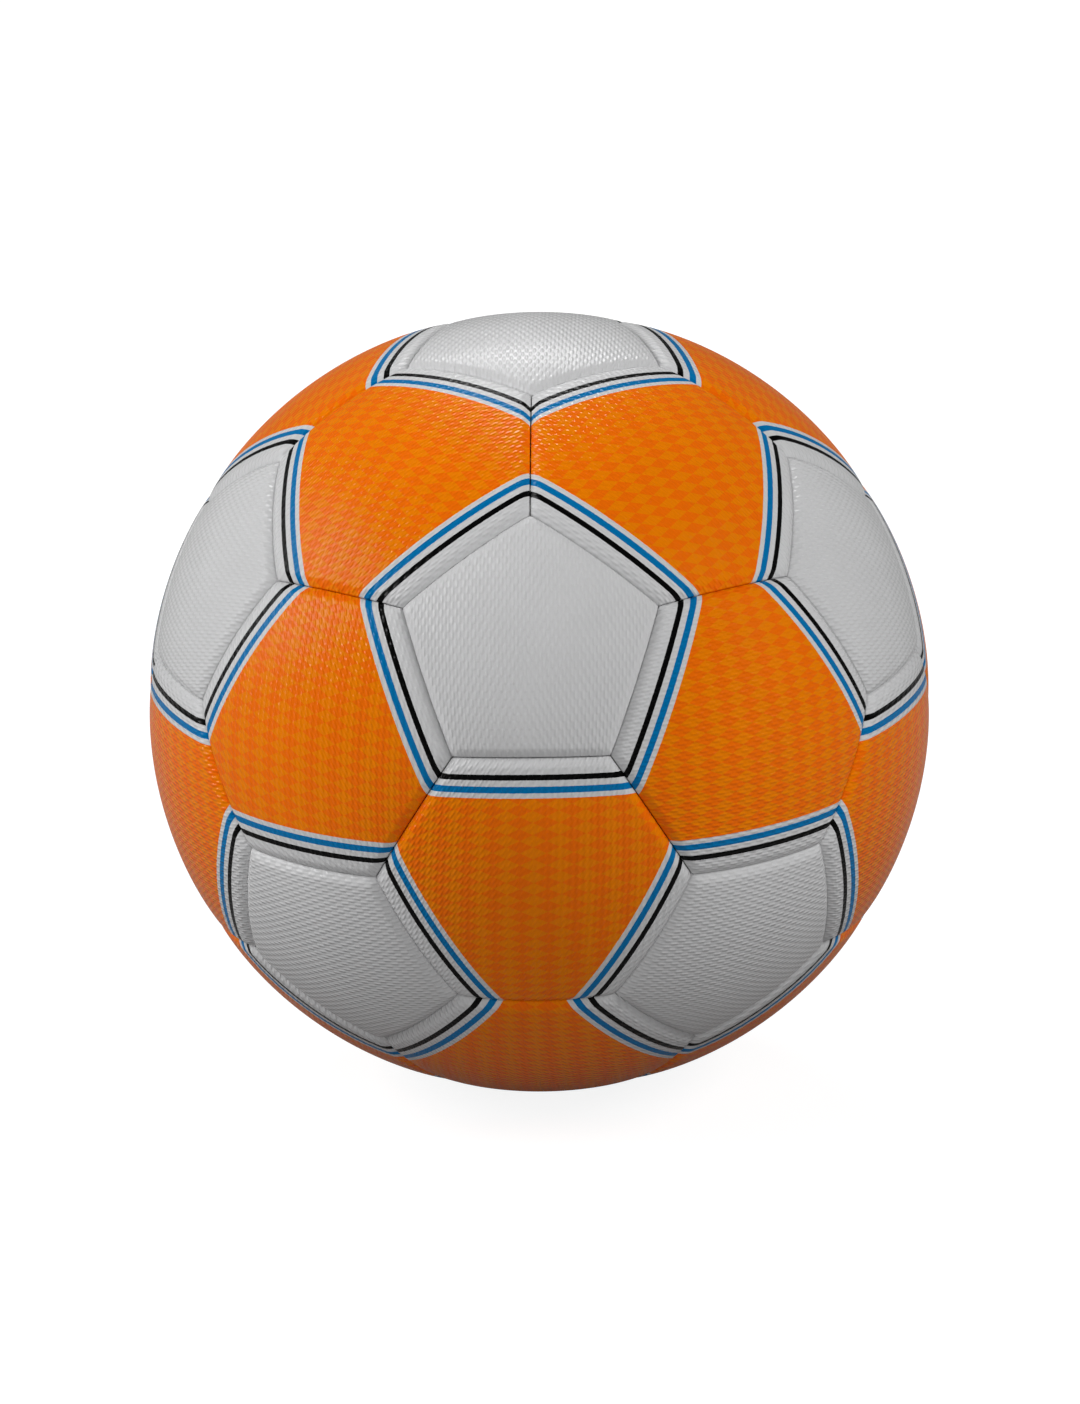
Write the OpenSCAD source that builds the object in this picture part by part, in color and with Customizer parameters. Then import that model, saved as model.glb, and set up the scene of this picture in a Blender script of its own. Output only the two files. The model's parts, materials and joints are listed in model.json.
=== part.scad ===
// Hand-stitched ball of twelve five-sided and twenty six-sided panels.
// Millimetres. The origin is the ball's centre, +Z runs through the middle
// of the top five-sided panel and -Y is the front.
// Each panel is a skin with rolled, turned-in edges over a foam pad and a
// woven lining. Stitches cross every seam below the surface, and a rubber
// bladder with a needle valve lies inside.

/* [Ball] */
// Distance round the inflated ball
ball_girth = 645; // [560:1:700]

/* [Panels] */
// Thickness of the textured skin
skin_t = 1.3; // [0.8:0.1:1.8]
// Radius of the rolled edge beside a seam
edge_roll = 5.5; // [4:0.1:7]
// How far below the skin two panels meet
seam_depth = 1; // [0.6:0.1:1.6]
// Gap between two panels along their seam
seam_gap = 0.3; // [0.2:0.05:0.6]
// Depth of the turned-in hem below the lining
hem = 2.2; // [2:0.1:4]

/* [Backing] */
// Thickness of the foam pad under the skin
foam_t = 2.2; // [1.2:0.1:3.5]
// Thickness of the woven lining under the foam
lining_t = 1.2; // [0.6:0.1:2]
// Room for glue between two layers
glue_gap = 0.1; // [0.05:0.05:0.2]

/* [Stitches] */
// Diameter of the waxed thread
thread_d = 0.9; // [0.5:0.05:1]
// Stitches along one seam
stitches_per_seam = 7; // [3:1:9]
// Distance from a panel's corner to its first stitch
corner_margin = 4.5; // [4:0.1:8]

/* [Bladder] */
// Thickness of the bladder's wall
bladder_t = 0.9; // [0.6:0.1:2]
// Gap between the bladder and the hems
bladder_gap = 0.3; // [0.2:0.1:0.8]

/* [Valve] */
// Diameter of the pump needle's channel
needle_d = 2.2; // [1.6:0.1:2.6]
// Diameter of the valve core's shaft
core_d = 4.8; // [4.2:0.1:5.6]
// Length of that shaft
core_length = 12; // [9:0.5:14]
// Thickness of the core's head
core_head_t = 1.6; // [1.2:0.1:2]
// Rubber left between the needle's channel and the core's inner end
core_tip = 2.5; // [1.5:0.5:4]
// Wall of the valve's rubber sleeve
sleeve_wall = 1.7; // [1.2:0.1:2.6]
// Diameter of the flange that joins the sleeve to the bladder
flange_d = 26; // [20:1:34]
// Thickness of that flange
flange_t = 1.1; // [0.8:0.1:1.4]
// Depth of the valve's face below the skin
valve_recess = 0.6; // [0.3:0.1:1]
// How far the sleeve reaches inside the bladder
sleeve_reach = 9; // [6:0.5:14]
// Gap round each piece of the valve
valve_fit = 0.15; // [0.1:0.05:0.25]

/* [Hidden] */
$fn = 96;
// Latitudes of the rings of panels
pent_lat = atan(1 / 2);
hex_lat_low = asin(sqrt((5 - 2 * sqrt(5)) / 15));
hex_lat_high = asin(sqrt((5 + 2 * sqrt(5)) / 15));
// Angles at the ball's centre from the middle of a panel to the middle of its side
hex_tilt = asin(2 / 3) / 2;
pent_tilt = 90 - hex_lat_high - hex_tilt;
// Half of the angle that one seam spans at the ball's centre
half_seam = asin(2 / sqrt(58 + 18 * sqrt(5)));

ball_r = ball_girth / (2 * PI);
half_gap = seam_gap / 2;
foam_depth = skin_t + glue_gap;
lining_depth = foam_depth + foam_t + glue_gap;
layers = lining_depth + lining_t;
turn_in = layers + hem;
hem_r = ball_r - turn_in;
bladder_r = hem_r - bladder_gap;
stitch_r = ball_r - layers - hem / 2;
// The rolled edge stands this far proud of the skin's sphere, which trims it
roll_proud = 0.12;
roll_centre_r = ball_r - edge_roll + roll_proud;
// Width of the rolled edge, from the seam to where it meets the sphere
roll_width = sqrt(pow(edge_roll, 2) - pow(edge_roll - roll_proud - seam_depth, 2));
roll_centre_w = half_gap + roll_width;
thread_fit = 0.05;
// The strands inside a hem lie side by side, so they are thicker than one thread
strand_d = thread_d * 1.25;
strand_w = half_gap + skin_t + thread_fit;
first_stitch = half_seam - corner_margin * 180 / (PI * stitch_r);
stitch_step = 2 * first_stitch / (stitches_per_seam - 1);
// Each strand ends a little past the last stitch
strand_end = first_stitch + thread_d * 180 / (PI * stitch_r);
sleeve_r = core_d / 2 + valve_fit + sleeve_wall;
panel_hole_r = sleeve_r + valve_fit;
core_head_r = core_d / 2 + sleeve_wall * 0.45;
valve_face = ball_r - valve_recess;
sleeve_end = bladder_r - bladder_t - sleeve_reach;
core_end = valve_face - core_head_t - core_length;
needle_end = core_end + core_tip;
slit_w = 0.15;

// One panel: longitude, latitude and the direction of its first side, from its own east.
// For a hexagon the first side, and every second one after it, borders a pentagon.
PENTAGONS = concat(
    [[0, 90, -54]],
    [for (k = [0:4]) [72 * k, pent_lat, 126]],
    [for (k = [0:4]) [72 * k + 36, -pent_lat, -54]],
    [[0, -90, -54]]
);
HEXAGONS = concat(
    [for (k = [0:4]) [72 * k + 36, hex_lat_high, 90]],
    [for (k = [0:4]) [72 * k + 36, hex_lat_low, -90]],
    [for (k = [0:4]) [72 * k, -hex_lat_low, 90]],
    [for (k = [0:4]) [72 * k, -hex_lat_high, -90]]
);
// The panel that carries the valve, in the middle of the back
VALVE_HEXAGON = 7;

function two_digits(n) = str(n < 10 ? "0" : "", n);
function pentagon_name(i) = str("pentagon_panel_", two_digits(i + 1));
function hexagon_name(i) = str("hexagon_panel_", two_digits(i + 1));

// Turns a panel's own frame, with its middle on +Z, to its place on the ball
module at_panel(panel) {
    rotate([90 - panel[1], 0, panel[0]]) children();
}

// Turns a seam's frame, whose Z is square to the seam's plane and points
// into the panel, to one side of the panel
module at_side(direction, tilt) {
    rotate([0, 0, direction]) rotate([0, tilt - 90, 0]) children();
}

// A ball whose poles lie outside the panel
module clear_ball(r) {
    rotate([90, 0, 0]) sphere(r = r);
}

// All that lies inside one side of a panel, down to a depth below the skin,
// with the rolled edge along the seam
module inside_side(direction, tilt, depth) {
    inset = half_gap + depth;
    roll = edge_roll - depth;
    centre_rho = sqrt(pow(roll_centre_r, 2) - pow(roll_centre_w, 2));
    at_side(direction, tilt) rotate([0, 0, 180]) rotate_extrude() difference() {
        translate([0, inset]) square([ball_r + 2, ball_r]);
        difference() {
            translate([centre_rho, inset - 1]) square([ball_r, roll_centre_w - inset + 1]);
            translate([centre_rho, roll_centre_w]) circle(r = roll);
        }
    }
}

// The solid form of a panel, taken in by a depth on all its outer faces
module blank(sides, panel, tilt, depth, side = 0) {
    if (side == sides) {
        clear_ball(ball_r - depth);
    } else {
        intersection() {
            blank(sides, panel, tilt, depth, side + 1);
            inside_side(panel[2] + side * 360 / sides, tilt, depth);
        }
    }
}

module stitch_places() {
    for (k = [0:stitches_per_seam - 1])
        rotate([0, 0, k * stitch_step - first_stitch])
            translate([stitch_r, 0, 0]) children();
}

// Textured skin with its rolled edges, hems and stitch holes
module skin(sides, panel, tilt) {
    difference() {
        blank(sides, panel, tilt, 0);
        blank(sides, panel, tilt, skin_t);
        clear_ball(hem_r);
        for (side = [0:sides - 1])
            at_side(panel[2] + side * 360 / sides, tilt) stitch_places()
                cylinder(d = thread_d + 2 * thread_fit, h = half_gap + skin_t + 1);
    }
}

module foam_pad(sides, panel, tilt) {
    difference() {
        blank(sides, panel, tilt, foam_depth);
        clear_ball(ball_r - foam_depth - foam_t);
    }
}

module lining(sides, panel, tilt) {
    inset = half_gap + foam_depth;
    difference() {
        clear_ball(ball_r - lining_depth);
        clear_ball(ball_r - layers);
        for (side = [0:sides - 1])
            at_side(panel[2] + side * 360 / sides, tilt)
                translate([-2 * ball_r, -2 * ball_r, inset - 4 * ball_r]) cube(4 * ball_r);
    }
}

module pentagon_panel(i) {
    color("whitesmoke") at_panel(PENTAGONS[i]) skin(5, PENTAGONS[i], pent_tilt);
}

module hexagon_panel(i) {
    color("darkorange") at_panel(HEXAGONS[i]) difference() {
        skin(6, HEXAGONS[i], hex_tilt);
        if (i == VALVE_HEXAGON) cylinder(r = panel_hole_r, h = 2 * ball_r);
    }
}

module pentagon_foam_pads() {
    color("khaki") for (panel = PENTAGONS) at_panel(panel) foam_pad(5, panel, pent_tilt);
}

module hexagon_foam_pads() {
    color("khaki") for (i = [0:len(HEXAGONS) - 1]) at_panel(HEXAGONS[i]) difference() {
        foam_pad(6, HEXAGONS[i], hex_tilt);
        if (i == VALVE_HEXAGON) cylinder(r = panel_hole_r, h = 2 * ball_r);
    }
}

module pentagon_linings() {
    color("lightgrey") for (panel = PENTAGONS) at_panel(panel) lining(5, panel, pent_tilt);
}

module hexagon_linings() {
    color("lightgrey") for (i = [0:len(HEXAGONS) - 1]) at_panel(HEXAGONS[i]) difference() {
        lining(6, HEXAGONS[i], hex_tilt);
        if (i == VALVE_HEXAGON) cylinder(r = panel_hole_r, h = 2 * ball_r);
    }
}

// Saddle stitching of one seam: a thread through each pair of holes, and the
// flattened strands that run from stitch to stitch inside either hem
module seam_thread() {
    thread_half = strand_w + thread_d / 4;
    stitch_places() translate([0, 0, -thread_half]) cylinder(d = thread_d, h = 2 * thread_half);
    for (hem_side = [0, 1])
        mirror([0, 0, hem_side])
            rotate([0, 0, -strand_end])
                rotate_extrude(angle = 2 * strand_end)
                    translate([stitch_r, strand_w]) intersection() {
                        circle(d = strand_d);
                        translate([-strand_d, 0]) square(2 * strand_d);
                    }
}

module pentagon_seam_stitches() {
    color("ivory") for (panel = PENTAGONS) at_panel(panel)
        for (side = [0:4]) at_side(panel[2] + 72 * side, pent_tilt) seam_thread();
}

// Each seam between two hexagons is counted once
module hexagon_seam_stitches() {
    color("ivory") for (k = [0:4]) {
        for (side = [3, 5]) seam_of(HEXAGONS[k], side);
        for (side = [1, 5]) seam_of(HEXAGONS[k + 5], side);
        seam_of(HEXAGONS[k + 10], 3);
        seam_of(HEXAGONS[k + 15], 1);
    }
}

module seam_of(panel, side) {
    at_panel(panel) at_side(panel[2] + 60 * side, hex_tilt) seam_thread();
}

module bladder() {
    color("dimgrey") difference() {
        sphere(r = bladder_r);
        sphere(r = bladder_r - bladder_t);
        at_panel(HEXAGONS[VALVE_HEXAGON]) cylinder(r = sleeve_r + valve_fit, h = 2 * ball_r);
    }
}

// Rubber sleeve with the flange that seats on the bladder
module valve_sleeve() {
    bore_r = core_d / 2 + valve_fit;
    seat = bladder_r + glue_gap;
    color("black") at_panel(HEXAGONS[VALVE_HEXAGON]) difference() {
        union() {
            translate([0, 0, sleeve_end]) cylinder(r = sleeve_r, h = valve_face - sleeve_end);
            intersection() {
                difference() {
                    clear_ball(seat + flange_t);
                    clear_ball(seat);
                }
                cylinder(d = flange_d, h = 2 * ball_r);
            }
        }
        translate([0, 0, sleeve_end - 1]) cylinder(r = bore_r, h = valve_face - sleeve_end + 2);
        translate([0, 0, valve_face - core_head_t - valve_fit])
            cylinder(r = core_head_r + valve_fit, h = core_head_t + 2);
    }
}

// Valve core with its needle channel, closed by a slit at the inner end
module valve_core() {
    color("dimgrey") at_panel(HEXAGONS[VALVE_HEXAGON]) difference() {
        union() {
            translate([0, 0, core_end]) cylinder(d = core_d, h = core_length + core_head_t / 2);
            translate([0, 0, valve_face - core_head_t]) cylinder(r = core_head_r, h = core_head_t);
        }
        translate([0, 0, needle_end]) cylinder(d = needle_d, h = ball_r);
        translate([-core_d * 0.3, -slit_w / 2, core_end - 1]) cube([core_d * 0.6, slit_w, needle_end - core_end + 2]);
    }
}

for (i = [0:11]) pentagon_panel(i);
for (i = [0:19]) hexagon_panel(i);
pentagon_foam_pads();
hexagon_foam_pads();
pentagon_linings();
hexagon_linings();
pentagon_seam_stitches();
hexagon_seam_stitches();
bladder();
valve_sleeve();
valve_core();
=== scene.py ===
"""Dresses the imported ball: skin panels with rolled edges, backing, bladder, valve and stage."""
import json
import math

import bmesh
import bpy
from bpy.props import FloatProperty, FloatVectorProperty, IntProperty, PointerProperty
from mathutils import Matrix, Vector


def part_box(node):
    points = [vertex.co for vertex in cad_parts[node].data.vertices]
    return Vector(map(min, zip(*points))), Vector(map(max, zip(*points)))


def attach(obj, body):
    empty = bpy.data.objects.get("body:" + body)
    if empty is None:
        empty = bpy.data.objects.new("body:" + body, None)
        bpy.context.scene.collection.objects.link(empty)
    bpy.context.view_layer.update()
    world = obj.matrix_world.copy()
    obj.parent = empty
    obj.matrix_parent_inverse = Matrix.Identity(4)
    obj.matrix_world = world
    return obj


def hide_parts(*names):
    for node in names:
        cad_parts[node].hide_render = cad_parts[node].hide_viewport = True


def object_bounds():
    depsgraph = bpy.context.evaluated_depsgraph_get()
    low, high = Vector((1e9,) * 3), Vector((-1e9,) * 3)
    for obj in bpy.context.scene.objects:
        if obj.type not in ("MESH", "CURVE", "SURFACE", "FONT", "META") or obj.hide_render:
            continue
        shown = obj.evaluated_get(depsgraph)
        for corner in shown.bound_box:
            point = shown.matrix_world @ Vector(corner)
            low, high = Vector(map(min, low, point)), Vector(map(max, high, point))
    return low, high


bl_info = {
    "name": "Stitched Ball",
    "version": (1, 0, 0),
    "blender": (4, 5, 0),
    "location": "View3D > Sidebar > Ball",
    "description": "Makes the skin panels, backing, bladder, valve and stage of a stitched ball",
    "category": "Object",
}

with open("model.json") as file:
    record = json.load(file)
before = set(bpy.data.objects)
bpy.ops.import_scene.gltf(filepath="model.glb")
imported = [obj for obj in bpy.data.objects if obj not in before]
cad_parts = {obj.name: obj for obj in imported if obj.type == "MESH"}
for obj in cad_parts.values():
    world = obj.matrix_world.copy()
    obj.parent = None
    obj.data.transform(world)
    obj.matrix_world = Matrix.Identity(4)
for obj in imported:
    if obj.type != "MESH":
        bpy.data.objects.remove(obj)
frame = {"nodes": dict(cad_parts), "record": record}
CAD_BOX = [list(corner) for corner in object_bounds()]
MM = 0.001
BALL_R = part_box("pentagon_panel_01")[1][2]
BLADDER_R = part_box("bladder")[1][0]
NEEDLE_BORE = next(m for m in frame["record"]["mounts"] if m["name"] == "needle_bore")
PHOTO_W = 1080
PHOTO_H = 1404

# Places of the panels on the ball, in the order of the nodes' numbers
TURN = math.tau / 5
PENT_LAT = math.atan(0.5)
HEX_LAT_HIGH = math.asin(math.sqrt((5 + 2 * math.sqrt(5)) / 15))
HEX_LAT_LOW = math.asin(math.sqrt((5 - 2 * math.sqrt(5)) / 15))
HEX_TILT = math.asin(2 / 3) / 2
PENT_TILT = math.pi / 2 - HEX_LAT_HIGH - HEX_TILT
PENT_SIDE = math.radians(54)
HEX_SIDE = math.radians(90)
VALVE_HEXAGON = 7

# Direction of the grain: on each five-sided panel, in degrees from its east, and on the
# six-sided panels, which are cut from the cloth in three directions by turns
PENT_GRAIN = (90, 90, 162, 234, 306, 18, 0, 0, 0, 0, 0, 0)
HEX_GRAIN = (30, -30, -90)

# How far the panels differ from each other in print (turn) and grain (millimetres)
PRINT_TURN = math.radians(0.5)
GRAIN_SLIDE_ALONG = 2
GRAIN_SLIDE_ACROSS = 0.5
HEX_SEED = 20

# Grain: how square its bumps' ends are, the share of the ridges under them, and fine leather
GRAIN_SQUARE = 1.6
RIDGE_SHARE = 0.5
LEATHER_SCALE = 3.5
LEATHER_HEIGHT = 0.015 * MM
LEATHER_STRENGTH = 0.5

# Lacquer: what varies over a panel, from its low to its high end, and how much painted shade
# darkens the grain's hollows
CLOUD_SCALE = 0.06
SKIN_SHADE = (0.955, 1.045)
# Painted shade: the skin's colour is darker in the hollows of the grain
HOLLOW_PAINTED_SHADE = (0.96, 1.0)
SKIN_ROUGHNESS = (0.17, 0.27)
SKIN_SPECULAR = 0.12

# Print, in millimetres: how far its colour ramp reaches, and how far its edges waver
PRINT_SPAN = 20.0
PRINT_WOBBLE = (-0.09, 0.09)
WOBBLE_SCALE = 1.1

# Edges of the layers and the valve that are sharper than this stay crisp
CREASE = math.radians(50)
LAYER_EDGE = 0.25 * MM

# Lamps round the ball: name, azimuth and elevation in degrees, distance and size in metres,
# power in watts, and whether glossy skin shows a glint of it
LAMPS = (
    ("left_light", -85, 30, 1.5, (0.64, 0.78), 16, True),
    ("right_light", 76, 34, 1.5, (0.6, 0.7), 12, False),
    ("front_light", 0, 20, 2.2, (1.2, 1.2), 15.5, False),
    ("back_light", -175, 45, 1.5, (0.5, 0.4), 8, True),
)
FLOOR_GREY = 0.25
FLOOR_GLOW = (0.87, 1.0)
FLOOR_GLOW_REACH = 3.0
WORLD_LIGHT = 0.06
GLOSSY_SHARE = 0.05


def pentagon_places():
    """Longitude, latitude and first side's direction of each five-sided panel."""
    places = [(0, math.pi / 2, -PENT_SIDE)]
    places += [(TURN * k, PENT_LAT, math.pi - PENT_SIDE) for k in range(5)]
    places += [(TURN * (k + 0.5), -PENT_LAT, -PENT_SIDE) for k in range(5)]
    places += [(0, -math.pi / 2, -PENT_SIDE)]
    return places


def hexagon_places():
    """The same for each six-sided panel, whose first side borders a five-sided one."""
    places = [(TURN * (k + 0.5), HEX_LAT_HIGH, HEX_SIDE) for k in range(5)]
    places += [(TURN * (k + 0.5), HEX_LAT_LOW, -HEX_SIDE) for k in range(5)]
    places += [(TURN * k, -HEX_LAT_LOW, HEX_SIDE) for k in range(5)]
    places += [(TURN * k, -HEX_LAT_HIGH, -HEX_SIDE) for k in range(5)]
    return places


def length(name, description, default):
    """A size in millimetres, kept in Blender's own unit."""
    return FloatProperty(
        name=name, description=description, default=default * MM, unit="LENGTH", precision=5
    )


def colour(name, description, default):
    """A colour in linear light."""
    return FloatVectorProperty(
        name=name, description=description, default=default, subtype="COLOR", min=0, max=1
    )


def angle(name, description, degrees):
    """An angle in degrees, kept in Blender's own unit."""
    return FloatProperty(
        name=name, description=description, default=math.radians(degrees), subtype="ANGLE"
    )


def pixels(name, description, default):
    """A size or place in the photo's pixels."""
    return FloatProperty(name=name, description=description, default=default, subtype="PIXEL")


class BallPanelSizes(bpy.types.PropertyGroup):
    """Sizes of the skin panels, their print and their grain."""

    edge_roll: length("Edge roll", "Radius of the rolled edge beside a seam", 5.5)
    seam_depth: length("Seam depth", "How far below the skin two panels meet", 1)
    roll_proud: length("Roll proud", "How far the rolled edge would stand over the sphere", 0.12)
    seam_gap: length("Seam gap", "Gap between two panels along their seam", 0.3)
    seam_pull: length("Seam pull", "How far the stitching draws a panel in beside its seam", 0.55)
    pull_width: length("Pull width", "Distance from the seam where that pull is down to a third", 6)
    skin: length("Skin", "Thickness of the skin", 1.3)
    crown: length("Crown", "How far a panel's corners lie below its middle", 0.25)
    bladder_gap: length("Bladder gap", "Gap between the hems and the bladder", 0.3)
    rows: IntProperty(name="Rows", description="Rings of faces in one panel", default=48)
    roll_rows: IntProperty(name="Roll rows", description="Rings on the rolled edge", default=14)
    margin: length("Margin", "White margin beside a five-sided panel", 5.2)
    black_line: length("Black line", "Width of the black line", 1.6)
    first_gap: length("First gap", "White gap between the black and the blue line", 1.8)
    blue_line: length("Blue line", "Width of the blue line", 1.9)
    second_gap: length("Second gap", "White gap between the blue line and the orange", 1.5)
    lozenge_width: length("Lozenge width", "Width of the two-tone field's lozenges", 3.4)
    lozenge_length: length("Lozenge length", "Length of the two-tone field's lozenges", 7.0)
    misprint: length("Misprint", "How far the print may lie off its place", 0.5)
    grain_pitch: length("Grain pitch", "Distance between two rows of the grain", 1.0)
    grain_step: length("Grain step", "Distance from bump to bump along a row", 4.0)
    grain_height: length("Grain height", "Half of the height of the grain's bumps", 0.075)


class BallBackingSizes(bpy.types.PropertyGroup):
    """Sizes of the layers under the skin."""

    glue: length("Glue", "Room for glue between two layers", 0.1)
    foam: length("Foam", "Thickness of the foam pads", 2.2)
    lining: length("Lining", "Thickness of the woven linings", 1.2)
    rows: IntProperty(name="Rows", description="Rings of faces in one pad", default=16)


class BallValveSizes(bpy.types.PropertyGroup):
    """Sizes of the valve."""

    hole: length("Hole", "Radius of the hole in the skin", 4.4)
    sleeve: length("Sleeve", "Outer radius of the rubber sleeve", 4.25)
    bore: length("Bore", "Inner radius of the sleeve", 2.55)
    head: length("Head", "Radius of the core's head", 3.165)
    head_height: length("Head height", "Thickness of the core's head", 1.6)
    shaft: length("Shaft", "Radius of the core's shaft", 2.4)
    core_length: length("Core length", "Length of the core's shaft", 12)
    needle_rest: length("Needle rest", "Rubber left below the needle's channel", 2.5)
    recess: length("Recess", "Depth of the valve's face below the skin", 0.6)
    reach: length("Reach", "How far the sleeve reaches inside the bladder", 9)
    flange: length("Flange", "Radius of the flange on the bladder", 13)
    flange_height: length("Flange height", "Thickness of the flange", 1.1)
    glue: length("Glue", "Room for glue under the flange", 0.1)
    fit: length("Fit", "Gap round the core's head", 0.15)
    round_edge: length("Round edge", "Radius of the rubber's rounded edges", 0.35)


class BallColours(bpy.types.PropertyGroup):
    """Colours of the skin and of what lies under it."""

    white: colour("White", "Ground colour of the skin", (0.64, 0.64, 0.645))
    black: colour("Black", "Thin printed line", (0.002, 0.002, 0.002))
    blue: colour("Blue", "Wide printed line", (0.0, 0.165, 0.42))
    orange_deep: colour("Deep orange", "Darker tone of the field", (0.9, 0.155, 0.001))
    orange_light: colour("Light orange", "Lighter tone of the field", (0.88, 0.215, 0.0))
    foam: colour("Foam", "Foam pads", (0.72, 0.66, 0.46))
    lining: colour("Lining", "Woven lining", (0.6, 0.57, 0.5))
    thread: colour("Thread", "Waxed thread", (0.75, 0.72, 0.64))
    rubber: colour("Rubber", "Bladder and valve", (0.022, 0.022, 0.024))


class BallStage(bpy.types.PropertyGroup):
    """Camera and floor."""

    azimuth: angle("Azimuth", "Camera's turn round the ball", 1.35)
    elevation: angle("Elevation", "Camera's height over the ball", 18.3)
    roll: angle("Roll", "Camera's turn about its own axis", -0.92)
    distance: length("Distance", "From the camera to the ball's centre", 3600)
    outline_px: pixels("Outline", "Radius of the ball's outline in the photo", 391.3)
    centre_x: pixels("Centre X", "Ball's centre in the photo, from the left", 539.4)
    centre_y: pixels("Centre Y", "Ball's centre in the photo, from the top", 701.3)
    floor_size: length("Floor", "Half width of the floor", 12000)


# Node helpers


def link_or_set(tree, socket, value):
    """Feeds an input with another node's output, or sets its constant."""
    if isinstance(value, bpy.types.NodeSocket):
        tree.links.new(value, socket)
    else:
        socket.default_value = value


def maths(tree, operation, *values):
    """A Math node's result."""
    node = tree.nodes.new("ShaderNodeMath")
    node.operation = operation
    for socket, value in zip(node.inputs, values):
        link_or_set(tree, socket, value)
    return node.outputs[0]


def mix(tree, factor, first, second, blend="MIX"):
    """A colour mix."""
    node = tree.nodes.new("ShaderNodeMix")
    node.data_type = "RGBA"
    node.blend_type = blend
    link_or_set(tree, node.inputs["Factor"], factor)
    for name, value in (("A", first), ("B", second)):
        socket = next(s for s in node.inputs if s.name == name and s.type == "RGBA")
        link_or_set(tree, socket, value)
    return next(s for s in node.outputs if s.type == "RGBA")


def shaded(tree, paint, shade):
    """A colour made darker or lighter by a value."""
    return mix(tree, 1.0, paint, shade, "MULTIPLY")


def noise(tree, vector, scale, detail=3.0):
    """A noise value about 0.5."""
    node = tree.nodes.new("ShaderNodeTexNoise")
    node.inputs["Scale"].default_value = scale
    node.inputs["Detail"].default_value = detail
    tree.links.new(vector, node.inputs["Vector"])
    return node.outputs["Fac"]


def spread(tree, value, low, high):
    """Stretches 0 to 1 over a range."""
    node = tree.nodes.new("ShaderNodeMapRange")
    tree.links.new(value, node.inputs["Value"])
    node.inputs["To Min"].default_value = low
    node.inputs["To Max"].default_value = high
    return node.outputs[0]


def bump(tree, height, distance, strength=1.0, under=None):
    """A bump of the surface's normal, in metres."""
    node = tree.nodes.new("ShaderNodeBump")
    node.inputs["Distance"].default_value = distance
    node.inputs["Strength"].default_value = strength
    tree.links.new(height, node.inputs["Height"])
    if under is not None:
        tree.links.new(under, node.inputs["Normal"])
    return node.outputs["Normal"]


def new_material(name):
    """A material, its tree and its main shader."""
    material = bpy.data.materials.new(name)
    material.use_nodes = True
    tree = material.node_tree
    shader = next(n for n in tree.nodes if n.type == "BSDF_PRINCIPLED")
    return material, tree, shader


def opaque(rgb):
    """A colour with full alpha."""
    return (*rgb, 1.0)


def grain_normal(tree, sizes):
    """Embossed grain: rows of long bumps, each half a step on from the last, over fine leather."""
    uv = tree.nodes.new("ShaderNodeUVMap")
    uv.uv_map = "grain"
    split = tree.nodes.new("ShaderNodeSeparateXYZ")
    tree.links.new(uv.outputs["UV"], split.inputs[0])
    along = maths(tree, "MULTIPLY", split.outputs["X"], math.tau * MM / sizes.grain_step)
    across = maths(tree, "MULTIPLY", split.outputs["Y"], math.pi * MM / sizes.grain_pitch)
    wave = maths(tree, "MULTIPLY", maths(tree, "COSINE", along), GRAIN_SQUARE)
    dashes = maths(tree, "MAXIMUM", maths(tree, "MINIMUM", wave, 1.0), -1.0)
    rows = maths(tree, "MULTIPLY", maths(tree, "COSINE", across), dashes)
    ridges = maths(tree, "COSINE", maths(tree, "MULTIPLY", across, 2.0))
    raised = maths(tree, "ADD", rows, maths(tree, "MULTIPLY", ridges, RIDGE_SHARE))
    leather = noise(tree, uv.outputs["UV"], LEATHER_SCALE)
    fine = bump(tree, leather, LEATHER_HEIGHT, LEATHER_STRENGTH)
    return bump(tree, raised, sizes.grain_height, under=fine), raised


def finish_skin(tree, shader, paint, sizes):
    """Lacquered synthetic leather over a paint colour."""
    uv = tree.nodes.new("ShaderNodeUVMap")
    uv.uv_map = "print"
    normal, raised = grain_normal(tree, sizes)
    cloud = noise(tree, uv.outputs["UV"], CLOUD_SCALE, 4)
    clouded = shaded(tree, paint, spread(tree, cloud, *SKIN_SHADE))
    # Painted shade: the colour is darker in the hollows of the grain, lighter on its bumps
    hollow_painted_shade_colour = shaded(tree, clouded, spread(tree, raised, *HOLLOW_PAINTED_SHADE))
    tree.links.new(hollow_painted_shade_colour, shader.inputs["Base Color"])
    tree.links.new(spread(tree, cloud, *SKIN_ROUGHNESS), shader.inputs["Roughness"])
    tree.links.new(normal, shader.inputs["Normal"])
    shader.inputs["Specular IOR Level"].default_value = SKIN_SPECULAR


def plain_skin(sizes, colours):
    """White skin of the five-sided panels."""
    material, tree, shader = new_material("white_skin")
    finish_skin(tree, shader, opaque(colours.white), sizes)
    return material


def towards_side(tree, east, north):
    """Distance from a panel's middle towards the nearest of its three printed sides."""
    third = math.tau / 3
    reaches = []
    for k in range(3):
        eastward = maths(tree, "MULTIPLY", east, math.cos(third * k))
        northward = maths(tree, "MULTIPLY", north, math.sin(third * k))
        reaches.append(maths(tree, "ADD", eastward, northward))
    return maths(tree, "MAXIMUM", maths(tree, "MAXIMUM", reaches[0], reaches[1]), reaches[2])


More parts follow.
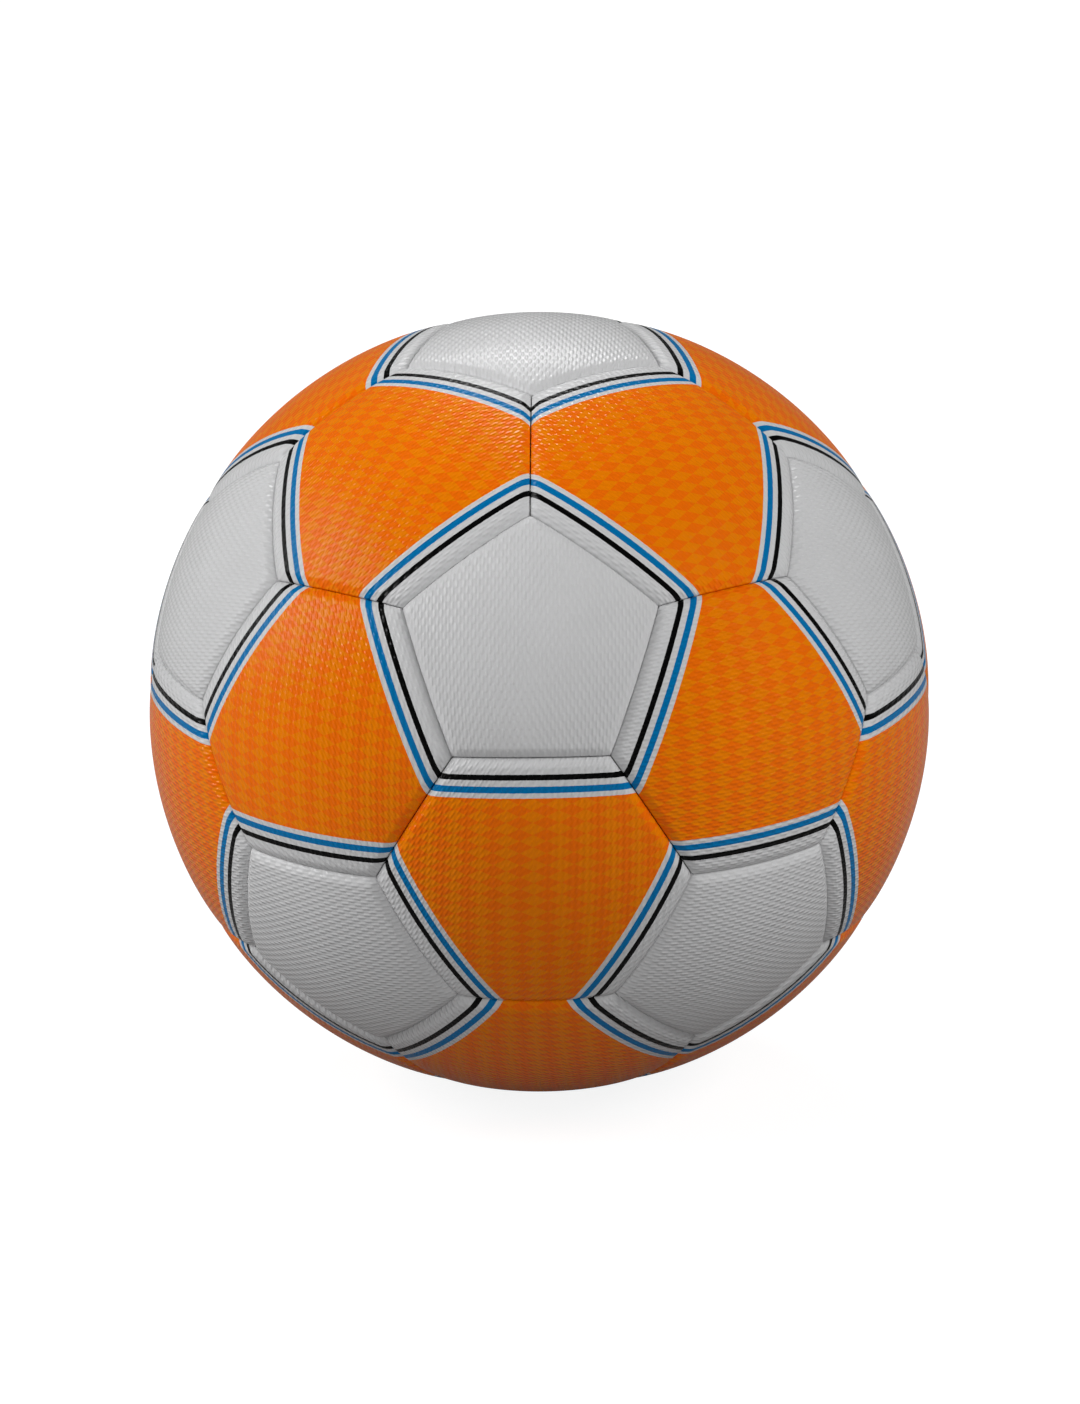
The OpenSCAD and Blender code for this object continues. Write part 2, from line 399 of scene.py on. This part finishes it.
def lozenges(tree, east, north, sizes):
    """1 on every other lozenge of a field, 0 on the rest."""
    across = maths(tree, "DIVIDE", east, sizes.lozenge_width / MM)
    along = maths(tree, "DIVIDE", north, sizes.lozenge_length / MM)
    rising = maths(tree, "FLOOR", maths(tree, "ADD", along, across))
    falling = maths(tree, "FLOOR", maths(tree, "SUBTRACT", along, across))
    return maths(tree, "FLOORED_MODULO", maths(tree, "ADD", rising, falling), 2.0)


def printed_lines(tree, from_side, sizes, colours):
    """Colour of the margin and lines at a distance from the side, and the distance they end at."""
    ramp = tree.nodes.new("ShaderNodeValToRGB")
    stops = ramp.color_ramp.elements
    ramp.color_ramp.interpolation = "CONSTANT"
    stops.remove(stops[1])
    stops[0].position = 0
    stops[0].color = opaque(colours.white)
    steps = (
        (sizes.margin, colours.black),
        (sizes.black_line, colours.white),
        (sizes.first_gap, colours.blue),
        (sizes.blue_line, colours.white),
    )
    edge = 0.0
    for width, next_colour in steps:
        edge += width / MM
        stop = stops.new(edge / PRINT_SPAN)
        stop.color = opaque(next_colour)
    tree.links.new(maths(tree, "DIVIDE", from_side, PRINT_SPAN), ramp.inputs["Fac"])
    return ramp.outputs["Color"], edge + sizes.second_gap / MM


def printed_skin(sizes, colours):
    """Printed skin of the six-sided panels: lines along three sides, and a field of two tones."""
    material, tree, shader = new_material("printed_skin")
    uv = tree.nodes.new("ShaderNodeUVMap")
    uv.uv_map = "print"
    split = tree.nodes.new("ShaderNodeSeparateXYZ")
    tree.links.new(uv.outputs["UV"], split.inputs[0])
    east, north = split.outputs["X"], split.outputs["Y"]
    half_width = BALL_R / MM * math.tan(HEX_TILT)
    wobble = spread(tree, noise(tree, uv.outputs["UV"], WOBBLE_SCALE), *PRINT_WOBBLE)
    from_middle = maths(tree, "SUBTRACT", towards_side(tree, east, north), wobble)
    from_side = maths(tree, "SUBTRACT", half_width, from_middle)
    lines, lines_end = printed_lines(tree, from_side, sizes, colours)
    light = lozenges(tree, east, north, sizes)
    field = mix(tree, light, opaque(colours.orange_deep), opaque(colours.orange_light))
    inner = maths(tree, "GREATER_THAN", from_side, lines_end)
    finish_skin(tree, shader, mix(tree, inner, lines, field), sizes)
    return material


# Panels


def kept_mesh(name, mesh):
    """Mesh data from a bmesh, which is freed."""
    data = bpy.data.meshes.new(name)
    mesh.to_mesh(data)
    mesh.free()
    return data


def add_piece(name, data, node):
    """Adds a piece of the ball in place of a CAD node, which it hides."""
    piece = bpy.data.objects.new(name, data)
    bpy.context.scene.collection.objects.link(piece)
    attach(piece, "root")
    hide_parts(node)
    return piece


def roll_centre(sizes):
    """Distances of the rolled edge's centre from the ball's centre and from the seam's plane."""
    from_centre = BALL_R - sizes.edge_roll + sizes.roll_proud
    rise = sizes.edge_roll - sizes.roll_proud - sizes.seam_depth
    return from_centre, sizes.seam_gap / 2 + math.sqrt(sizes.edge_roll ** 2 - rise ** 2)


def edge_drop(lift, sizes):
    """How far the rolled edge lies below the sphere, at an angle above the seam's plane."""
    centre_r, centre_w = roll_centre(sizes)
    off = lift - math.asin(centre_w / centre_r)
    if off >= 0:
        return 0.0
    reach = sizes.edge_roll ** 2 - (centre_r * math.sin(off)) ** 2
    surface = centre_r * math.cos(off) + math.sqrt(max(0.0, reach))
    return max(0.0, BALL_R - surface)


def seam_drop(lift, sizes):
    """How far the rolled edge and the stitching's pull take the skin below the sphere."""
    pull = sizes.seam_pull * math.exp(-lift * BALL_R / sizes.pull_width)
    return edge_drop(lift, sizes) + pull


def row_scales(tilt, sizes):
    """Distance of each ring from the panel's middle, as a share of the panel's half width."""
    centre_r, centre_w = roll_centre(sizes)
    centre_rho = math.sqrt(centre_r ** 2 - centre_w ** 2)
    steepest = math.acos((centre_w - sizes.seam_gap / 2) / sizes.edge_roll)
    rolled = []
    for j in range(sizes.roll_rows + 1):
        bend = steepest + (math.pi / 2 - steepest) * j / sizes.roll_rows
        rho = centre_rho + sizes.edge_roll * math.sin(bend)
        w = centre_w - sizes.edge_roll * math.cos(bend)
        rolled.append(math.tan(tilt - math.atan2(w, rho)) / math.tan(tilt))
    inner_rows = sizes.rows - sizes.roll_rows
    flat = [rolled[-1] * k / inner_rows for k in range(inner_rows)]
    return flat + rolled[::-1]


def flat_panel(sides, rows):
    """A flat panel of triangles in rings round its middle, with its first side towards +X."""
    mesh = bmesh.new()
    bmesh.ops.create_circle(mesh, cap_ends=True, cap_tris=True, segments=sides, radius=1)
    bmesh.ops.subdivide_edges(mesh, edges=mesh.edges[:], cuts=rows - 1, use_grid_fill=True)
    turn = -(math.pi / 2 + math.pi / sides)
    spin = Matrix.Rotation(turn, 3, "Z")
    bmesh.ops.rotate(mesh, verts=mesh.verts[:], cent=(0, 0, 0), matrix=spin)
    return mesh


def ring_of(point, sides, rows):
    """Number of the ring that a point of the flat panel lies on."""
    turns = [math.tau * k / sides for k in range(sides)]
    reach = max(point.x * math.cos(t) + point.y * math.sin(t) for t in turns)
    return round(rows * reach / math.cos(math.pi / sides))


def open_hole(mesh, rings, hole, step):
    """Takes out the middle of a flat six-sided panel and rounds the rings about the hole."""
    rounded_rings = 9
    spacing = 0.9
    share = math.cos(math.pi / 6) * hole / (BALL_R * math.tan(HEX_TILT))
    first = math.ceil(share / step) + 1
    last = first + rounded_rings
    gone = [v for v in mesh.verts if rings[v] < first]
    for vert in mesh.verts:
        ring = rings[vert]
        if first <= ring <= last:
            blend = (ring - first) / (last - first)
            ease = blend * blend * (3 - 2 * blend)
            round_r = share + (ring - first) * step * spacing
            circle = vert.co.normalized() * round_r
            vert.co = circle.lerp(vert.co, ease)
    for vert in gone:
        del rings[vert]
    bmesh.ops.delete(mesh, geom=gone, context="VERTS")


def seam_normals(sides, tilt):
    """Normals of the planes of the seams round one panel, towards its inside."""
    turns = [math.tau * k / sides for k in range(sides)]
    lean = math.cos(tilt)
    return [Vector((-lean * math.cos(t), -lean * math.sin(t), math.sin(tilt))) for t in turns]


def lay_on_ball(mesh, sides, tilt, sizes, depth=0.0, follow=1.0):
    """Lays a flat panel on the ball at a depth, along the skin's crown and rolled edges or not."""
    stretch = BALL_R * math.tan(tilt) / math.cos(math.pi / sides)
    normals = seam_normals(sides, tilt)
    for vert in mesh.verts:
        flat_r = vert.co.xy.length
        ray = Vector((vert.co.x * stretch, vert.co.y * stretch, BALL_R)).normalized()
        drops = [seam_drop(math.asin(n.dot(ray)), sizes) for n in normals]
        drop = sum(d ** 3 for d in drops) ** (1 / 3) + sizes.crown * flat_r ** 2
        vert.co = ray * (BALL_R - depth - follow * drop)


def sink_rim(mesh, hole):
    """Draws the skin in a little round the valve's hole."""
    deepest = 0.35 * MM
    reach = 0.6 * MM
    for vert in mesh.verts:
        away = max(0.0, vert.co.xy.length - hole)
        vert.co -= vert.co.normalized() * deepest * math.exp(-away / reach)


def panel_mesh(name, sides, tilt, sizes, hole=None):
    """One skin panel about +Z, its first side towards +X: crowned, rolled and turned in."""
    mesh = flat_panel(sides, sizes.rows)
    scales = row_scales(tilt, sizes)
    rings = {v: ring_of(v.co, sides, sizes.rows) for v in mesh.verts}
    for vert, ring in rings.items():
        if ring:
            vert.co *= scales[ring] * sizes.rows / ring
    if hole:
        open_hole(mesh, rings, hole, math.cos(math.pi / 6) / (sizes.rows - sizes.roll_rows))
    outer = {v for v in mesh.verts if rings[v] == sizes.rows}
    lay_on_ball(mesh, sides, tilt, sizes)
    if hole:
        sink_rim(mesh, hole)
    edges = [e for e in mesh.edges if e.is_boundary and outer.issuperset(e.verts)]
    turned = bmesh.ops.extrude_edge_only(mesh, edges=edges)
    hem_r = BLADDER_R + sizes.bladder_gap
    for item in turned["geom"]:
        if isinstance(item, bmesh.types.BMVert):
            item.co *= hem_r / item.co.length
    bmesh.ops.recalc_face_normals(mesh, faces=mesh.faces[:])
    probe = max(mesh.faces, key=lambda f: f.calc_center_median().z)
    if probe.normal.z < 0:
        bmesh.ops.reverse_faces(mesh, faces=mesh.faces[:])
    layers = [mesh.loops.layers.uv.new(layer) for layer in ("print", "grain")]
    for face in mesh.faces:
        face.smooth = True
        for loop in face.loops:
            co = loop.vert.co
            flat = Vector((co.x, co.y)) * (BALL_R / co.z / MM)
            for layer in layers:
                loop[layer].uv = flat
    return kept_mesh(name, mesh)


def panel_spot(place):
    """Turns a panel about +Z to its place on the ball."""
    longitude, latitude, first_side = place
    spot = Matrix.Rotation(longitude, 4, "Z") @ Matrix.Rotation(math.pi / 2 - latitude, 4, "X")
    return spot @ Matrix.Rotation(first_side, 4, "Z")


def steady(index, salt):
    """A number from -1 to 1 that is the same on every run."""
    value = math.sin(index * 12.9898 + salt * 78.233) * 43758.5453
    return 2 * (value - math.floor(value)) - 1


def shift_uv(data, layer, turn, shift):
    """Turns and shifts one UV map."""
    cos_t, sin_t = math.cos(turn), math.sin(turn)
    for loop in data.uv_layers[layer].data:
        u, v = loop.uv
        loop.uv = (u * cos_t - v * sin_t + shift[0], u * sin_t + v * cos_t + shift[1])


def place_panel(node, base, place, index, grain, material, sizes):
    """Puts a copy of a panel at its node's place on the ball."""
    data = base.copy()
    data.name = node + "_skin"
    data.transform(panel_spot(place))
    off = sizes.misprint / MM
    turn = PRINT_TURN * steady(index, 1)
    shift_uv(data, "print", turn, (off * steady(index, 2), off * steady(index, 3)))
    slide = (GRAIN_SLIDE_ALONG * steady(index, 4), GRAIN_SLIDE_ACROSS * steady(index, 5))
    shift_uv(data, "grain", -grain, slide)
    data.materials.append(material)
    piece = add_piece(node + "_skin", data, node)
    wall = piece.modifiers.new("skin thickness", "SOLIDIFY")
    wall.thickness = sizes.skin
    wall.offset = -1


class BALL_OT_pentagon_panels(bpy.types.Operator):
    """Makes the white five-sided skin panels"""

    bl_idname = "ball.pentagon_panels"
    bl_label = "Five-sided panels"

    def execute(self, context):
        sizes = context.scene.ball_panels
        material = plain_skin(sizes, context.scene.ball_colours)
        base = panel_mesh("pentagon_base", 5, PENT_TILT, sizes)
        for i, place in enumerate(pentagon_places()):
            node = f"pentagon_panel_{i + 1:02d}"
            grain = math.radians(PENT_GRAIN[i]) - place[2]
            place_panel(node, base, place, i, grain, material, sizes)
        bpy.data.meshes.remove(base)
        return {"FINISHED"}


class BALL_OT_hexagon_panels(bpy.types.Operator):
    """Makes the printed six-sided skin panels, one with a hole for the valve"""

    bl_idname = "ball.hexagon_panels"
    bl_label = "Six-sided panels"

    def execute(self, context):
        sizes = context.scene.ball_panels
        material = printed_skin(sizes, context.scene.ball_colours)
        base = panel_mesh("hexagon_base", 6, HEX_TILT, sizes)
        holed = panel_mesh("valve_base", 6, HEX_TILT, sizes, context.scene.ball_valve.hole)
        for i, place in enumerate(hexagon_places()):
            node = f"hexagon_panel_{i + 1:02d}"
            grain = math.radians(HEX_GRAIN[i % len(HEX_GRAIN)])
            mesh = holed if i == VALVE_HEXAGON else base
            place_panel(node, mesh, place, HEX_SEED + i, grain, material, sizes)
        bpy.data.meshes.remove(base)
        bpy.data.meshes.remove(holed)
        return {"FINISHED"}


# Backing, stitching and bladder


def object_coordinates(tree):
    """Object coordinates of the piece."""
    return tree.nodes.new("ShaderNodeTexCoord").outputs["Object"]


def dress(node, material):
    """Gives a CAD node its material."""
    data = frame["nodes"][node].data
    data.materials.clear()
    data.materials.append(material)


def foam_material(colours):
    """Closed-cell foam."""
    cells_per_metre = 1400
    cell_depth = 0.2 * MM
    material, tree, shader = new_material("foam")
    at = object_coordinates(tree)
    cells = tree.nodes.new("ShaderNodeTexVoronoi")
    cells.inputs["Scale"].default_value = cells_per_metre
    tree.links.new(at, cells.inputs["Vector"])
    shade = spread(tree, noise(tree, at, 60), 0.9, 1.08)
    tree.links.new(shaded(tree, opaque(colours.foam), shade), shader.inputs["Base Color"])
    pitted = bump(tree, cells.outputs["Distance"], cell_depth)
    tree.links.new(pitted, shader.inputs["Normal"])
    shader.inputs["Roughness"].default_value = 0.9
    return material


def weave_material(name, rgb, scale):
    """Plain-woven cloth of two crossing sets of yarn."""
    yarn_depth = 0.15 * MM
    material, tree, shader = new_material(name)
    at = object_coordinates(tree)
    bands = []
    for direction in ("X", "Z"):
        wave = tree.nodes.new("ShaderNodeTexWave")
        wave.bands_direction = direction
        wave.inputs["Scale"].default_value = scale
        wave.inputs["Distortion"].default_value = 0.4
        tree.links.new(at, wave.inputs["Vector"])
        bands.append(wave.outputs["Fac"])
    height = maths(tree, "MAXIMUM", *bands)
    # Painted shade: the yarn's colour is darker where the weave lies low, between the yarns
    shade = spread(tree, height, 0.72, 1.05)
    tree.links.new(shaded(tree, opaque(rgb), shade), shader.inputs["Base Color"])
    tree.links.new(bump(tree, height, yarn_depth), shader.inputs["Normal"])
    shader.inputs["Roughness"].default_value = 0.85
    return material


def rubber_material(name, colours, scale, roughness):
    """Moulded rubber with a dusty bloom and fine pores."""
    pores_in_bloom = 25
    pore_depth = 0.05 * MM
    material, tree, shader = new_material(name)
    at = object_coordinates(tree)
    bloom = noise(tree, at, scale, 6)
    shade = spread(tree, bloom, 0.7, 1.5)
    tree.links.new(shaded(tree, opaque(colours.rubber), shade), shader.inputs["Base Color"])
    tree.links.new(spread(tree, bloom, *roughness), shader.inputs["Roughness"])
    pores = noise(tree, at, scale * pores_in_bloom)
    tree.links.new(bump(tree, pores, pore_depth), shader.inputs["Normal"])
    return material


def hem_angle(sizes, backing):
    """Angle above a seam's plane at which the layers end, clear of the turned-in hem."""
    return math.asin((sizes.seam_gap / 2 + sizes.skin + backing.glue) / BALL_R)


def layer_mesh(sides, tilt, depth, thickness, follow, sizes, backing, hole=None):
    """One closed pad or lining about +Z."""
    mesh = flat_panel(sides, backing.rows)
    rings = {v: ring_of(v.co, sides, backing.rows) for v in mesh.verts}
    share = math.tan(tilt - hem_angle(sizes, backing)) / math.tan(tilt)
    bmesh.ops.scale(mesh, verts=mesh.verts[:], vec=(share, share, 1))
    if hole:
        open_hole(mesh, rings, hole, math.cos(math.pi / 6) * share / backing.rows)
    lay_on_ball(mesh, sides, tilt, sizes, depth, follow)
    inner = bmesh.ops.extrude_face_region(mesh, geom=mesh.faces[:], use_keep_orig=True)
    inner_r = BALL_R - depth - thickness
    for item in inner["geom"]:
        if isinstance(item, bmesh.types.BMVert):
            item.co *= inner_r / item.co.length
    bmesh.ops.recalc_face_normals(mesh, faces=mesh.faces[:])
    return kept_mesh("layer", mesh)


def layer_piece(node, places, plain, holed, material):
    """All pads or linings of one kind as a piece with rounded edges, in place of their node."""
    joined = bmesh.new()
    for i, place in enumerate(places):
        data = (holed if i == VALVE_HEXAGON else plain).copy()
        data.transform(panel_spot(place))
        joined.from_mesh(data)
        bpy.data.meshes.remove(data)
    for face in joined.faces:
        face.smooth = True
    mesh = kept_mesh(node + "_layer", joined)
    mesh.set_sharp_from_angle(angle=CREASE)
    mesh.materials.append(material)
    piece = add_piece(node + "_layer", mesh, node)
    edge = piece.modifiers.new("soft edge", "BEVEL")
    edge.width = LAYER_EDGE
    edge.segments = 2
    edge.limit_method = "ANGLE"
    edge.angle_limit = CREASE
    return piece


class BALL_OT_backing(bpy.types.Operator):
    """Makes the foam pads and linings, and gives the stitching and the bladder their materials"""

    bl_idname = "ball.backing"
    bl_label = "Backing and bladder"

    def execute(self, context):
        sizes = context.scene.ball_panels
        backing = context.scene.ball_backing
        colours = context.scene.ball_colours
        hole = context.scene.ball_valve.hole
        foam = foam_material(colours)
        cloth = weave_material("woven_lining", colours.lining, scale=260)
        thread = weave_material("waxed_thread", colours.thread, scale=700)
        foam_depth = sizes.skin + backing.glue
        lining_depth = foam_depth + backing.foam + backing.glue
        kinds = (
            ("pentagon", 5, PENT_TILT, pentagon_places()),
            ("hexagon", 6, HEX_TILT, hexagon_places()),
        )
        layers = (
            ("foam_pads", foam_depth, backing.foam, 1.0, foam, "foam"),
            ("linings", lining_depth, backing.lining, 0.0, cloth, "lining"),
        )
        for kind, sides, tilt, places in kinds:
            for layer, depth, thickness, follow, material, slot in layers:
                shape = (sides, tilt, depth, thickness, follow, sizes, backing)
                plain = layer_mesh(*shape)
                holed = layer_mesh(*shape, hole) if kind == "hexagon" else plain
                layer_piece(f"{kind}_{layer}", places, plain, holed, material)
                for data in {plain, holed}:
                    bpy.data.meshes.remove(data)
            dress(kind + "_seam_stitches", thread)
        rubber = rubber_material("bladder_rubber", colours, scale=40, roughness=(0.45, 0.7))
        dress("bladder", rubber)
        return {"FINISHED"}


# Valve


def spun_piece(profile, closed):
    """A turned piece about +Z, from a closed profile of (radius, height) or one that ends on Z."""
    mesh = bmesh.new()
    verts = [mesh.verts.new((r, 0, z)) for r, z in profile]
    first = 0 if closed else 1
    edges = [mesh.edges.new((verts[i - 1], verts[i])) for i in range(first, len(verts))]
    bmesh.ops.spin(
        mesh,
        geom=verts + edges,
        cent=(0, 0, 0),
        axis=(0, 0, 1),
        angle=math.tau,
        steps=64,
        use_merge=True,
    )
    bmesh.ops.remove_doubles(mesh, verts=mesh.verts[:], dist=1e-6)
    bmesh.ops.recalc_face_normals(mesh, faces=mesh.faces[:])
    return mesh


def rounded(profile, radius, corners, steps=4):
    """The profile with some of its corners rounded."""
    out = []
    count = len(profile)
    for i, point in enumerate(profile):
        if i not in corners:
            out.append(point)
            continue
        here = Vector(point)
        before = (Vector(profile[i - 1]) - here).normalized() * radius
        after = (Vector(profile[(i + 1) % count]) - here).normalized() * radius
        for s in range(steps + 1):
            t = s / steps
            spot = here + before * (1 - t) ** 2 + after * t ** 2
            out.append(tuple(spot))
    return out


def sleeve_profile(valve):
    """Outline of the sleeve, whose flange lies on the bladder and thins out towards its rim."""
    face = BALL_R - valve.recess
    seat = BLADDER_R + valve.glue
    well = face - valve.head_height - valve.fit
    end = BLADDER_R - valve.reach
    rim = math.sqrt(seat ** 2 - valve.flange ** 2)
    foot = math.sqrt(seat ** 2 - valve.sleeve ** 2)
    cone_r = 1.9 * valve.sleeve
    cone_drop = 2.5 * (seat - foot)
    head_hole = valve.head + valve.fit
    outline = [
        (valve.bore, end),
        (valve.sleeve, end),
        (valve.sleeve, foot),
        (valve.flange, rim),
        (valve.flange, rim + valve.flange_height / 2),
        (cone_r, seat + valve.flange_height - cone_drop),
        (valve.sleeve, seat + valve.flange_height),
        (valve.sleeve, face),
        (head_hole, face),
        (head_hole, well),
        (valve.bore, well),
    ]
    end_corners = {0, 1}
    rim_corners = {4}
    face_corners = {7, 8}
    return rounded(outline, valve.round_edge, end_corners | rim_corners | face_corners)


def core_profile(valve):
    """Outline of the core from its tip to the end of the needle's channel."""
    face = BALL_R - valve.recess
    shoulder = face - valve.head_height
    tip = shoulder - valve.core_length
    channel = NEEDLE_BORE["dims"]["r_mm"] * MM
    channel_end = tip + valve.needle_rest
    mouth = 1.9 * channel
    mouth_depth = 0.5 * MM
    outline = [
        (0, tip),
        (valve.shaft, tip),
        (valve.shaft, shoulder),
        (valve.head, shoulder),
        (valve.head, face),
        (mouth, face),
        (channel, face - mouth_depth),
        (channel, channel_end),
        (0, channel_end),
    ]
    tip_corners = {1}
    face_corners = {4, 5}
    return rounded(outline, valve.round_edge, tip_corners | face_corners)


def seat_valve(node, mesh, material):
    """Turns a valve piece to the needle bore's axis and puts it in place of its node."""
    turn = Vector(NEEDLE_BORE["axis"]).to_track_quat("Z", "Y").to_matrix()
    bmesh.ops.rotate(mesh, verts=mesh.verts[:], cent=(0, 0, 0), matrix=turn)
    for face in mesh.faces:
        face.smooth = True
    data = kept_mesh(node + "_rubber", mesh)
    data.set_sharp_from_angle(angle=CREASE)
    data.materials.append(material)
    add_piece(node + "_rubber", data, node)


class BALL_OT_valve(bpy.types.Operator):
    """Makes the valve's sleeve and core"""

    bl_idname = "ball.valve"
    bl_label = "Valve"

    def execute(self, context):
        valve = context.scene.ball_valve
        colours = context.scene.ball_colours
        rubber = rubber_material("valve_rubber", colours, scale=120, roughness=(0.4, 0.6))
        sleeve = spun_piece(sleeve_profile(valve), closed=True)
        seat_valve("valve_sleeve", sleeve, rubber)
        greased = rubber_material("core_rubber", colours, scale=200, roughness=(0.3, 0.5))
        core = spun_piece(core_profile(valve), closed=False)
        seat_valve("valve_core", core, greased)
        return {"FINISHED"}


# Stage


def bearing(azimuth, elevation):
    """Direction from the ball's centre, azimuth 0 towards the front."""
    return Vector((
        math.cos(elevation) * math.sin(azimuth),
        -math.cos(elevation) * math.cos(azimuth),
        math.sin(elevation),
    ))


def facing(back, distance):
    """Place at a distance from the ball's centre, turned to look at it."""
    turn = (-back).to_track_quat("-Z", "Y").to_matrix().to_4x4()
    return Matrix.Translation(back * distance) @ turn


def add_camera(stage):
    """A long lens that shows the ball as the photo does, in angle, size and place."""
    back = bearing(stage.azimuth, stage.elevation)
    data = bpy.data.cameras.new("photo_camera")
    data.sensor_fit = "AUTO"
    data.sensor_width = 36
    slope = math.tan(math.asin(BALL_R / stage.distance))
    data.lens = data.sensor_width * stage.outline_px / PHOTO_H / slope
    data.shift_x = (PHOTO_W / 2 - stage.centre_x) / PHOTO_H
    data.shift_y = (stage.centre_y - PHOTO_H / 2) / PHOTO_H
    camera = bpy.data.objects.new("photo_camera", data)
    camera.matrix_world = facing(back, stage.distance) @ Matrix.Rotation(stage.roll, 4, "Z")
    bpy.context.scene.collection.objects.link(camera)
    bpy.context.scene.camera = camera


def add_softbox(name, azimuth, elevation, distance, size, power, glints):
    """A soft light that faces the ball, with or without a reflection of it on glossy skin."""
    data = bpy.data.lights.new(name, "AREA")
    data.shape = "RECTANGLE"
    data.size, data.size_y = size
    data.energy = power
    lamp = bpy.data.objects.new(name, data)
    lamp.visible_glossy = glints
    back = bearing(math.radians(azimuth), math.radians(elevation))
    lamp.matrix_world = facing(back, distance)
    bpy.context.scene.collection.objects.link(lamp)


def seen_rays(tree):
    """1 for rays that show the backdrop, less for reflections, 0 for rays that light the ball."""
    rays = tree.nodes.new("ShaderNodeLightPath").outputs
    shown = maths(tree, "MAXIMUM", rays["Is Camera Ray"], rays["Is Transmission Ray"])
    reflected = maths(tree, "MULTIPLY", rays["Is Glossy Ray"], GLOSSY_SHARE)
    return maths(tree, "MAXIMUM", shown, reflected)


def floor_material():
    """Pale floor that shows white and keeps the shadow."""
    material, tree, shader = new_material("pale_floor")
    shader.inputs["Base Color"].default_value = opaque((FLOOR_GREY,) * 3)
    shader.inputs["Roughness"].default_value = 0.9
    shader.inputs["Specular IOR Level"].default_value = 0.0
    shader.inputs["Emission Color"].default_value = (1, 1, 1, 1)
    away = tree.nodes.new("ShaderNodeVectorMath")
    away.operation = "LENGTH"
    tree.links.new(object_coordinates(tree), away.inputs[0])
    share = maths(tree, "DIVIDE", away.outputs["Value"], FLOOR_GLOW_REACH)
    glow = maths(tree, "MULTIPLY", seen_rays(tree), spread(tree, share, *FLOOR_GLOW))
    tree.links.new(glow, shader.inputs["Emission Strength"])
    return material


def add_floor(stage):
    """A wide floor under the ball."""
    mesh = bmesh.new()
    bmesh.ops.create_grid(mesh, x_segments=1, y_segments=1, size=stage.floor_size)
    bmesh.ops.translate(mesh, verts=mesh.verts[:], vec=(0, 0, CAD_BOX[0][2]))
    data = kept_mesh("floor", mesh)
    data.materials.append(floor_material())
    floor = bpy.data.objects.new("floor", data)
    bpy.context.scene.collection.objects.link(floor)


def set_world():
    """A white backdrop all round, which lights the ball only faintly, and a dim ceiling over it."""
    backdrop_top = math.radians(8)
    ceiling_edge = math.radians(25)
    world = bpy.data.worlds.new("studio")
    world.use_nodes = True
    tree = world.node_tree
    background = next(n for n in tree.nodes if n.type == "BACKGROUND")
    background.inputs["Color"].default_value = (1, 1, 1, 1)
    split = tree.nodes.new("ShaderNodeSeparateXYZ")
    tree.links.new(tree.nodes.new("ShaderNodeTexCoord").outputs["Generated"], split.inputs[0])
    height = tree.nodes.new("ShaderNodeMapRange")
    height.interpolation_type = "SMOOTHSTEP"
    height.inputs["From Min"].default_value = math.sin(backdrop_top)
    height.inputs["From Max"].default_value = math.sin(ceiling_edge)
    height.inputs["To Min"].default_value = 1
    height.inputs["To Max"].default_value = 0
    tree.links.new(split.outputs["Z"], height.inputs["Value"])
    shown = maths(tree, "MULTIPLY", height.outputs[0], seen_rays(tree))
    tree.links.new(spread(tree, shown, WORLD_LIGHT, 1.0), background.inputs["Strength"])
    bpy.context.scene.world = world


class BALL_OT_stage(bpy.types.Operator):
    """Adds the camera, the lights and the floor"""

    bl_idname = "ball.stage"
    bl_label = "Stage"

    def execute(self, context):
        stage = context.scene.ball_stage
        add_camera(stage)
        for lamp in LAMPS:
            add_softbox(*lamp)
        add_floor(stage)
        set_world()
        context.scene.view_settings.view_transform = "Standard"
        return {"FINISHED"}


class BALL_PT_sidebar(bpy.types.Panel):
    """Lists the ball's pieces"""

    bl_idname = "BALL_PT_sidebar"
    bl_label = "Stitched Ball"
    bl_space_type = "VIEW_3D"
    bl_region_type = "UI"
    bl_category = "Ball"

    def draw(self, context):
        for operator in OPERATORS:
            self.layout.operator(operator.bl_idname)
        for group in GROUPS:
            box = self.layout.box()
            settings = getattr(context.scene, group)
            for name in settings.bl_rna.properties.keys():
                if name not in ("rna_type", "name"):
                    box.prop(settings, name)


GROUPS = {
    "ball_panels": BallPanelSizes,
    "ball_backing": BallBackingSizes,
    "ball_valve": BallValveSizes,
    "ball_colours": BallColours,
    "ball_stage": BallStage,
}
OPERATORS = (
    BALL_OT_stage,
    BALL_OT_pentagon_panels,
    BALL_OT_hexagon_panels,
    BALL_OT_backing,
    BALL_OT_valve,
)
CLASSES = (*GROUPS.values(), *OPERATORS, BALL_PT_sidebar)


def register():
    """Adds the classes and the scene's settings."""
    for cls in CLASSES:
        bpy.utils.register_class(cls)
    for name, cls in GROUPS.items():
        setattr(bpy.types.Scene, name, PointerProperty(type=cls))


def unregister():
    """Takes them out again."""
    for name in GROUPS:
        delattr(bpy.types.Scene, name)
    for cls in reversed(CLASSES):
        bpy.utils.unregister_class(cls)


def main():
    """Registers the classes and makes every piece."""
    register()
    bpy.ops.ball.stage()
    bpy.ops.ball.pentagon_panels()
    bpy.ops.ball.hexagon_panels()
    bpy.ops.ball.backing()
    bpy.ops.ball.valve()


if __name__ == "__main__":
    main()
